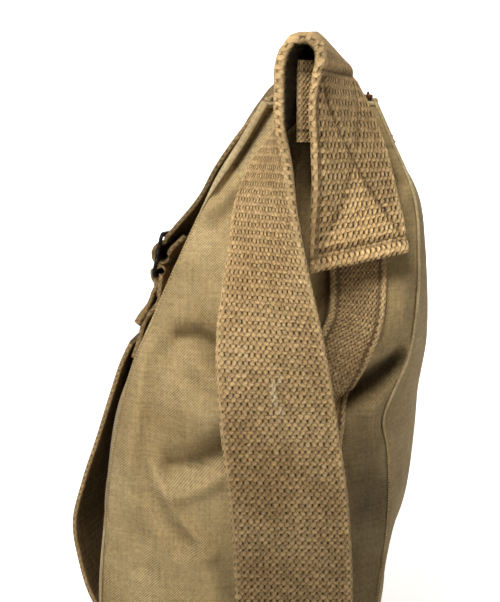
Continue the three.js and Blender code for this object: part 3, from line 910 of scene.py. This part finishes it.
# The gusset tape: narrower webbing sewn flat on the canvas, from under the strap's end down to the base.
TAPE_WIDTH = 26
TAPE = 2.2
TAPE_SEAM = 9.8  # its two rows of stitches, from its middle
TAPE_ROUTE = (
    (57.5, 256),
    (57.5, 236),
    (55.6, 222),
    (50.2, 210),
    (45, 198),
    (39, 180),
    (34, 140),
    (31, 100),
    (29, 60),
    (27, 25),
    (26, 9),
)
tape_middle = np.array(TAPE_ROUTE, float)
tape_line = Ribbon(
    np.column_stack([np.zeros(len(tape_middle)), tape_middle]),
    np.tile([0.0, 1.0, 0.0], (len(tape_middle), 1)),
)


def gusset_lift(y, z, out):
    """A point this far out from the face of the +X gusset."""
    step = 0.5
    x = gusset_x(y, z)
    slope_y = (gusset_x(y + step, z) - gusset_x(y - step, z)) / (2 * step)
    slope_z = (gusset_x(y, z + step) - gusset_x(y, z - step)) / (2 * step)
    normal = unit(np.stack([np.ones_like(x), -slope_y, -slope_z], -1))
    return np.stack([x, y, z], -1) + normal * np.asarray(out)[..., None]


def tape_place(along, across, out):
    flat = tape_line.place(along, across, np.zeros_like(across))
    return gusset_lift(flat[..., 1], flat[..., 2], out + TAPE / 2 + 0.3)


def tape_groove(along, across, out=0):
    return np.exp(-(((np.abs(across) - TAPE_SEAM) / 0.7) ** 2))


def tape_relief(along, across):
    return -0.7 * tape_groove(along, across)


def make_tape(name, side):
    def place(along, across, out):
        return tape_place(along, across, out) * np.array([side, 1, 1])

    alongs = np.linspace(0, tape_line.length, 200)
    # The groove mark is painted shade along both rows of stitching.
    marks = {"groove": tape_groove}
    sizes = (TAPE_WIDTH, TAPE, 40)
    tape = webbing_piece(name + "_webbing", place, alongs, *sizes, fine_weave, tape_relief, marks, FINE_YARN)
    if side > 0:
        tape.data.flip_normals()
    dress(tape, tape_webbing, "tape", name)


tape_webbing = webbing_finish("brown_tape", paint(188, 154, 107), paint(162, 130, 87), paint(212, 181, 132))
make_tape("gusset_tape_right", 1)
make_tape("gusset_tape_left", -1)


# The closing strap: webbing sewn to the back, over the mouth and through a flat three-bar buckle.
# Below the buckle a short doubled loop is sewn to the front, and a slack length bows out to the base.
BUCKLE_Y, BUCKLE_Z, BUCKLE_LEAN, BUCKLE_YAW = -42, 240.5, 12.5, 13
CLOSING_STEP = 1.5
# Stations y, z and how far the near edge is turned outward, in degrees.
UPPER_ROUTE = (
    (89.6, 297),
    (83.2, 307),
    (76, 320),
    (70, 333),
    (60, 344),
    (42, 349),
    (25, 341.6, -8),
    (16.6, 332.6, -6),
    (5.9, 319, -2),
    (-3.3, 305, 2),
    (-11.4, 290.2, 6),
    (-16.6, 277.4, 10),
)
# Places in the buckle's own frame: down its length, and outward from its middle plane.
UPPER_THREAD = (
    (-15.5, -4.8),
    (-10, -1.8),
    (-6.3, 0.2),
    (-2.6, 3.2),
    (0.8, 3.6),
    (3.6, 1.2),
    (3.0, -1.8),
    (0.4, -3.8),
    (-3.5, -5.8),
    (-7.5, -8.2),
    (-11, -10.5),
)
LOOP_THREAD = (
    (26, -0.6),
    (18, -1.7),
    (12.4, 1.6),
    (9.2, 1.8),
    (8.5, -0.3),
    (9.6, -2.7),
    (13, -3.7),
    (18, -4.0),
    (26, -4.7),
)
LOOP_END = (-60.0, 198, 3)
LOOP_SEWN = ((-56.1, 199.5, 2), (-60.0, 188.5), (-63.6, 178))
LOWER_ROUTE = (
    (-63.4, 187, 3),
    (-68, 174.5, 6),
    (-73.5, 156, 8),
    (-81.6, 128, 10),
    (-89.8, 100, 13),
    (-95, 74, 15),
    (-92.4, 52, 14),
    (-86.4, 26, 9),
    (-77, 9, 4),
    (-65.5, 3.6, 0),
)


def in_buckle(along, out):
    lean = math.radians(BUCKLE_LEAN)
    y = BUCKLE_Y - math.sin(lean) * along - math.cos(lean) * out
    z = BUCKLE_Z - math.cos(lean) * along + math.sin(lean) * out
    return y, z, BUCKLE_YAW


def flat_ribbon(rows, facing=1):
    """A ribbon in the upright plane of the bag's middle; facing turns its outer face."""
    rows = [row if len(row) == 3 else (*row, 0) for row in rows]
    points = [(0, y, z) for y, z, twist in rows]
    angles = [math.radians(twist) for y, z, twist in rows]
    return Ribbon(points, [(facing * math.cos(angle), -facing * math.sin(angle), 0) for angle in angles])


def closing_inner_shade(along, across, out):
    """The faces towards the bag are darkened with painted shade."""
    return 0.6 * smooth_step(-out, 0.8, 1.45)


def loop_inner_shade(along, across, out):
    """Only the loop's front layer has its inner face towards the bag."""
    return closing_inner_shade(along, across, out) * (1 - smooth_step(along, 26, 32))


# An even darkening along the whole of a strap.
def even_darkening(level):
    def darkening(along, across, out):
        return np.full(np.shape(along), level)

    return darkening


def upper_painted_shade(along, across, out):
    """The upper strap is darkened evenly and, towards the buckle, with painted shade for the shadow it hangs
    in there.
    """
    return 0.25 + 0.33 * smooth_step(along, 118, 160)


def loop_thickness(along):
    """The loop's end is turned under, so it is thicker."""
    return WEBBING + 2.2 * (1 - smooth_step(along, 5, 14))


def closing_piece(name, rows, facing=1, inside=closing_inner_shade, darkening=even_darkening(0.25), thickness=WEBBING):
    line = flat_ribbon(rows, facing)
    alongs = np.linspace(0, line.length, int(line.length / CLOSING_STEP))
    marks = {"inside": inside, "darkening": darkening}
    sizes = (WEBBING_WIDTH, thickness, 30)
    piece = webbing_piece(name + "_webbing", line.place, alongs, *sizes, marks=marks)
    dress(piece, webbing, "webbing", name)
    return line


upper_rows = [*UPPER_ROUTE, *(in_buckle(*p) for p in UPPER_THREAD)]
upper_line = closing_piece("closing_strap_upper", upper_rows, darkening=upper_painted_shade)
loop_rows = [LOOP_END, *(in_buckle(*p) for p in LOOP_THREAD), *LOOP_SEWN]
closing_piece("buckle_loop", loop_rows, -1, loop_inner_shade, even_darkening(0.42), loop_thickness)
lower_line = closing_piece("closing_strap_lower", LOWER_ROUTE)


# The corner seams and the mouth: the layers are turned in, so a rounded welt runs up each corner and grows
# into a thick roll beside the mouth, and a rolled rim goes around the opening. All are worn pale.
WELT, WELT_FRONT, WELT_TOP = 0.8, 0.4, 2.0
RIM = 1.6
worn = paint(196, 173, 130)
worn_canvas = canvas_finish("worn_canvas", worn, paint(170, 146, 102), paint(212, 192, 150), 0.0009)


def round_cord(name, lines):
    """Round cords along lines of points, each with its radius at every point, as one piece."""
    sides = 10
    angles = np.arange(sides) / sides * math.tau
    points, faces, uvs = [], [], []
    for line, radius in lines:
        line = np.asarray(line, float)
        first = sum(len(part) for part in points)
        tangent = unit(np.gradient(line, axis=0))
        aside = unit(np.cross(tangent, (0.5, 0.4, 0.77)))
        above = np.cross(tangent, aside)
        turn_out = aside[:, None] * np.cos(angles)[None, :, None]
        turn_out = turn_out + above[:, None] * np.sin(angles)[None, :, None]
        thick = np.broadcast_to(radius, len(line))[:, None, None]
        points.append((line[:, None] + turn_out * thick).reshape(-1, 3))
        spots = np.broadcast_arrays(angles[None, :] * thick[..., 0], travel(line)[:, None])
        uvs.append(np.stack(spots, -1).reshape(-1, 2))
        here = np.arange(sides)[None, :]
        rows = first + np.arange(len(line) - 1)[:, None] * sides
        after = (here + 1) % sides
        quads = np.stack([rows + here, rows + after, rows + sides + after, rows + sides + here], -1)
        faces += quads.reshape(-1, 4).tolist()
        last = first + (len(line) - 1) * sides
        faces.append(list(range(first + sides - 1, first - 1, -1)))
        faces.append(list(range(last, last + sides)))
    return mesh_piece(name, np.concatenate(points), faces, np.concatenate(uvs))


seam_z = np.linspace(3, MOUTH_Z - 1.5, 140)
seam_lines = []
for side in (-1, 1):
    seam_x = side * (body["half"](seam_z) + 0.2)
    front_thick = WELT + (WELT_FRONT - WELT) * smooth_step(seam_z, 100, 130)
    front_thick = front_thick + (WELT_TOP - WELT_FRONT) * smooth_step(seam_z, 272, 298)
    sunk = side * smooth_step(seam_z, 100, 130) * (1 - smooth_step(seam_z, 262, 280))
    seam_lines.append((np.stack([seam_x - sunk, body["front"](seam_z) + 0.3, seam_z], -1), front_thick))
    back_thick = WELT_FRONT + (WELT - WELT_FRONT) * smooth_step(seam_z, 150, 180)
    back_sunk = side * (1 - smooth_step(seam_z, 150, 172))
    seam_lines.append((np.stack([seam_x - back_sunk, body["back"](seam_z) - 0.3, seam_z], -1), back_thick))
    foot_x = np.linspace(-150, 150, 40)
    foot_y = np.full(40, side * (float(body["back"](2)) + 0.2))
    seam_lines.append((np.stack([foot_x, foot_y, np.full(40, 1.9)], -1), WELT))
seam_welts = round_cord("seam_welts", seam_lines)
dress(seam_welts, worn_canvas, "canvas")

rim_lines = []
rim_u = np.linspace(-1, 1, 90)
rim_s = np.linspace(0, 1, 50)
for side in (-1, 1):
    rim_y = panel_y(rim_u, MOUTH_Z, side) - side * CANVAS / 2
    rim_lines.append((np.stack([rim_u * body["half"](MOUTH_Z), rim_y, np.full(90, MOUTH_Z - 0.6)], -1), RIM))
    end_y = gusset_span(rim_s, GUSSET_TOP)
    end_x = side * (gusset_x(end_y, GUSSET_TOP) - CANVAS / 2)
    rim_lines.append((np.stack([end_x, end_y, np.full(50, GUSSET_TOP - 0.4)], -1), RIM))
mouth_rim = round_cord("mouth_rim", rim_lines)
dress(mouth_rim, worn_canvas, "canvas")


# The thread: each seam is sewn with heavy brown cotton thread, one short rounded stitch after another.
STITCH, STITCH_GAP = 3.0, 1.2
# Rings of one stitch: share of its length, rise above the cloth, radius.
STITCH_RINGS = ((0, -0.35, 0.1), (0.2, 0.08, 0.34), (0.5, 0.22, 0.4), (0.8, 0.08, 0.34), (1, -0.35, 0.1))
STITCH_SIDES = 6


def seam_row(lay, start, end):
    """The two ends and the outward direction of every stitch in a row, on a surface that lay describes."""
    share = np.linspace(0, 1, 500)
    spots = [start[k] + (end[k] - start[k]) * share for k in (0, 1)]
    line = lay(spots[0], spots[1], np.zeros(500))
    up = lay(spots[0], spots[1], np.ones(500)) - line
    run = travel(line)
    starts = np.arange(STITCH_GAP / 2, run[-1] - STITCH, STITCH + STITCH_GAP)

    def at(values, places):
        return np.stack([np.interp(places, run, values[:, k]) for k in range(3)], -1)

    return at(line, starts), at(line, starts + STITCH), at(up, starts + STITCH / 2)


def sew(name, rows):
    start, end, up = (np.concatenate(parts) for parts in zip(*rows))
    along = end - start
    aside = unit(np.cross(unit(up), along))
    above = unit(np.cross(along, aside))
    rings = []
    for share, rise, radius in STITCH_RINGS:
        for k in range(STITCH_SIDES):
            angle = k / STITCH_SIDES * math.tau
            ring_out = aside * math.cos(angle) + above * math.sin(angle)
            rings.append(start + along * share + above * rise + ring_out * radius)
    points = np.stack(rings, 1)
    count, size = points.shape[:2]
    one = []
    for ring in range(len(STITCH_RINGS) - 1):
        for k in range(STITCH_SIDES):
            here, after = ring * STITCH_SIDES + k, ring * STITCH_SIDES + (k + 1) % STITCH_SIDES
            one.append([here, after, after + STITCH_SIDES, here + STITCH_SIDES])
    faces = (np.array(one)[None] + np.arange(count)[:, None, None] * size).reshape(-1, 4).tolist()
    uvs = np.tile(np.repeat([[0, 0], [0, 0.6], [0, 1.5], [0, 2.4], [0, 3]], STITCH_SIDES, 0), (count, 1))
    dress(mesh_piece(name, points.reshape(-1, 3), faces, uvs), thread, None)


def both_ends(row):
    """A row of stitches and its mirror image on the other gusset, worked the other way round."""
    flipped = [part * mirror for part in row]
    return [row, (flipped[1], flipped[0], flipped[2])]


def thread_finish():
    finish = Finish("brown_thread", roughness=0.8)
    across, along = finish.uv()
    twist = ((along * 9000.0).sin() + 1) * 0.5
    finish.set("Base Color", finish.blend(twist, paint(92, 70, 42), paint(136, 108, 68)))
    return finish.material


thread = thread_finish()


def on_patch(along, across, out):
    return strap_place(along, across, strap_thickness(along) / 2 + strap_relief(along, across) + out)


def on_tape(along, across, out):
    return tape_place(along, across, TAPE / 2 + tape_relief(along, across) + out)


def on_panel(side):
    def lay(u, z, out):
        return np.stack([u * body["half"](z), panel_y(u, z, side) + side * out, z], -1)

    return lay


def on_line(line):
    def lay(along, across, out):
        return line.place(along, across, WEBBING / 2 + out)

    return lay


patch_rows = []
for from_a, from_c, to_a, to_c, depth in PATCH_SEAMS:
    patch_rows += both_ends(seam_row(on_patch, (from_a, from_c), (to_a, to_c)))
sew("strap_stitches", patch_rows)

tape_rows = []
for aside in (-TAPE_SEAM, TAPE_SEAM):
    tape_rows += both_ends(seam_row(on_tape, (3, aside), (tape_line.length - 3, aside)))
sew("tape_stitches", tape_rows)

hem_rows = []
for side in (-1, 1):
    for rise in (2.2, 5.0):
        level = MOUTH_Z - HEM_DEPTH + rise
        hem_rows.append(seam_row(on_panel(side), (-0.985, level), (0.985, level)))
sew("hem_stitches", hem_rows)

closing_rows = []
for line, box in ((upper_line, (4, 32)), (lower_line, (4, 26))):
    corners = [(box[0], -20), (box[0], 20), (box[1], 20), (box[1], -20)]
    pairs = [(0, 1), (1, 2), (2, 3), (3, 0), (0, 2), (1, 3)]
    closing_rows += [seam_row(on_line(line), corners[i], corners[j]) for i, j in pairs]
sew("closing_stitches", closing_rows)


# The buckle: a flat frame with three bars, stamped from sheet steel, its edges rounded, then blackened.
BUCKLE_WIDTH, BUCKLE_LENGTH, BUCKLE_THICK, BUCKLE_BAR = 58, 28, 1.8, 3
CREASE = math.radians(40)  # edges sharper than this are rounded


def start_shape(name, add, size):
    """A new plane or cube, given its size and left open for more edits."""
    bpy.ops.object.select_all(action="DESELECT")
    add(size=1)
    shape = bpy.context.object
    shape.name = name
    bpy.ops.object.mode_set(mode="EDIT")
    bpy.ops.mesh.select_all(action="SELECT")
    bpy.ops.transform.resize(value=size)
    return shape


def rounded_plate(name, width, length, thick, corner, along=0.0):
    plate = start_shape(name, bpy.ops.mesh.primitive_plane_add, (width * MM, length * MM, 1))
    bpy.ops.mesh.bevel(offset=corner * MM, segments=5, affect="VERTICES")
    bpy.ops.transform.translate(value=(0, along * MM, 0))
    bpy.ops.object.mode_set(mode="OBJECT")
    apply_modifier(plate, "SOLIDIFY", thickness=thick * MM, offset=0.0)
    return plate


def cut_away(piece, cutter):
    apply_modifier(piece, "BOOLEAN", object=cutter, operation="DIFFERENCE")
    bpy.data.objects.remove(cutter)


def soften(piece, width):
    limits = {"limit_method": "ANGLE", "angle_limit": CREASE}
    apply_modifier(piece, "BEVEL", width=width * MM, segments=2, **limits)
    bpy.ops.object.shade_smooth_by_angle(angle=CREASE)


def metal_finish(name, colour, worn, roughness):
    """Metal with a dull uneven skin, rubbed brighter in spots."""
    finish = Finish(name, roughness=roughness, metallic=0.85)
    place = finish.node("ShaderNodeTexCoord", output="Object")
    rubbed = finish.noise(place, 420.0, 3.0)
    finish.set("Base Color", finish.blend((rubbed - 0.5) * 4.0, colour, worn))
    finish.set("Roughness", (rubbed - 0.5) * 0.5 + roughness)
    return finish.material


black_metal = metal_finish("blackened_steel", paint(34, 33, 34), paint(92, 86, 78), 0.45)
buckle = rounded_plate("buckle_frame", BUCKLE_WIDTH, BUCKLE_LENGTH, BUCKLE_THICK, 4)
slot_long = (BUCKLE_LENGTH - 3 * BUCKLE_BAR) / 2
for way in (-1, 1):
    slot_at = way * (BUCKLE_BAR + slot_long) / 2
    cut_away(buckle, rounded_plate("slot", BUCKLE_WIDTH - 2 * BUCKLE_BAR, slot_long, 8, 1, slot_at))
soften(buckle, 0.5)
lean = math.radians(BUCKLE_LEAN)
upright = Matrix(((1, 0, 0), (0, math.sin(lean), -math.cos(lean)), (0, math.cos(lean), math.sin(lean))))
turned = Matrix.Rotation(math.radians(-BUCKLE_YAW), 4, "Z") @ upright.to_4x4()
buckle.data.transform(Matrix.Translation(Vector((0, BUCKLE_Y - FRAME_SHIFT, BUCKLE_Z)) * MM) @ turned)
dress(buckle, black_metal, "buckle", "buckle")


# The zip: two brown cotton tapes inside the mouth, each with a row of small copper-brown teeth, drawn open.
# The slider is a saddle over the back row and carries a loose ring.
ZIP_HALF, ZIP_ABOVE, ZIP_DEEP, ZIP_IN = 146, 1.2, 10.5, 4.6
TOOTH_PITCH = 2.4
SLIDER_X, SLIDER_LONG, SLIDER_WIDE, SLIDER_TALL = 141, 10, 5.4, 2.8
RING, RING_WIRE = 2.3, 0.6

aged_brass = metal_finish("aged_brass", paint(96, 62, 36), paint(178, 128, 78), 0.42)
zip_cloth = canvas_finish("zip_cloth", paint(112, 88, 56), paint(88, 68, 42), paint(132, 106, 70), 0.0007)


def zip_y(x, side):
    return panel_y(x / body["half"](MOUTH_Z), MOUTH_Z, side) - side * ZIP_IN


def solid_box(name, size, edge):
    box = start_shape(name, bpy.ops.mesh.primitive_cube_add, [length * MM for length in size])
    if edge:
        bpy.ops.mesh.bevel(offset=edge * MM, segments=1, affect="EDGES")
    bpy.ops.object.mode_set(mode="OBJECT")
    return box


tooth = solid_box("tooth", (1.5, 2.6, 2.6), 0.4)
tooth_points = np.array([vertex.co for vertex in tooth.data.vertices]) / MM
tooth_faces = [list(face.vertices) for face in tooth.data.polygons]
bpy.data.objects.remove(tooth)
for name, side in (("zip_front", -1), ("zip_back", 1)):
    tape_levels = MOUTH_Z + ZIP_ABOVE - 1 - np.linspace(ZIP_DEEP, 0, 6)
    tape_x, tape_z = np.meshgrid(np.linspace(-ZIP_HALF, ZIP_HALF, 80), tape_levels)
    tape_points = np.stack([tape_x, zip_y(tape_x, side) + side * 0.5, tape_z], -1)
    tape_uvs = np.stack([tape_x, tape_z], -1)
    if side > 0:
        tape_points, tape_uvs = tape_points[:, ::-1], tape_uvs[:, ::-1]
    zip_tape = cloth_wall(name + "_tape", tape_points, tape_uvs, 1.0)
    dress(zip_tape, zip_cloth, None, name)
    tooth_x = np.arange(-ZIP_HALF + 2, ZIP_HALF - 1, TOOTH_PITCH)
    places = np.stack([tooth_x, zip_y(tooth_x, side), np.full(len(tooth_x), MOUTH_Z + ZIP_ABOVE - 1.3)], -1)
    teeth_points = (places[:, None] + tooth_points[None]).reshape(-1, 3)
    firsts = [n * len(tooth_points) for n in range(len(places))]
    teeth_faces = [[first + k for k in face] for first in firsts for face in tooth_faces]
    teeth = mesh_piece(name + "_teeth", teeth_points, teeth_faces)
    teeth.data.polygons.foreach_set("use_smooth", [False] * len(teeth.data.polygons))
    dress(teeth, aged_brass, "zip")

slider = solid_box("slider_body", (SLIDER_LONG, SLIDER_WIDE, SLIDER_TALL), 0)
saddle = solid_box("saddle", (SLIDER_LONG + 4, 3.0, 2.0), 0)
saddle.data.transform(Matrix.Translation((0, 0, -SLIDER_TALL / 2 * MM)))
cut_away(slider, saddle)
soften(slider, 0.8)
slider_place = Vector((SLIDER_X, float(zip_y(SLIDER_X, 1)) - FRAME_SHIFT, MOUTH_Z + 0.2)) * MM
slider.data.transform(Matrix.Translation(slider_place + Vector((0, 0, SLIDER_TALL / 2 * MM))))
dress(slider, aged_brass, "zip", "zip_slider")

bpy.ops.object.select_all(action="DESELECT")
bpy.ops.mesh.primitive_torus_add(
    major_radius=RING * MM, minor_radius=RING_WIRE * MM, major_segments=32, minor_segments=10
)
ring = bpy.context.object
ring.name = "slider_ring"
ring_place = slider_place + Vector((SLIDER_LONG / 2 + RING + RING_WIRE + 0.5, 0, 1.2)) * MM
ring.data.transform(Matrix.Translation(ring_place) @ Matrix.Rotation(math.pi / 2, 4, "X"))
bpy.ops.object.shade_smooth()
dress(ring, aged_brass, "zip", "zip_ring")
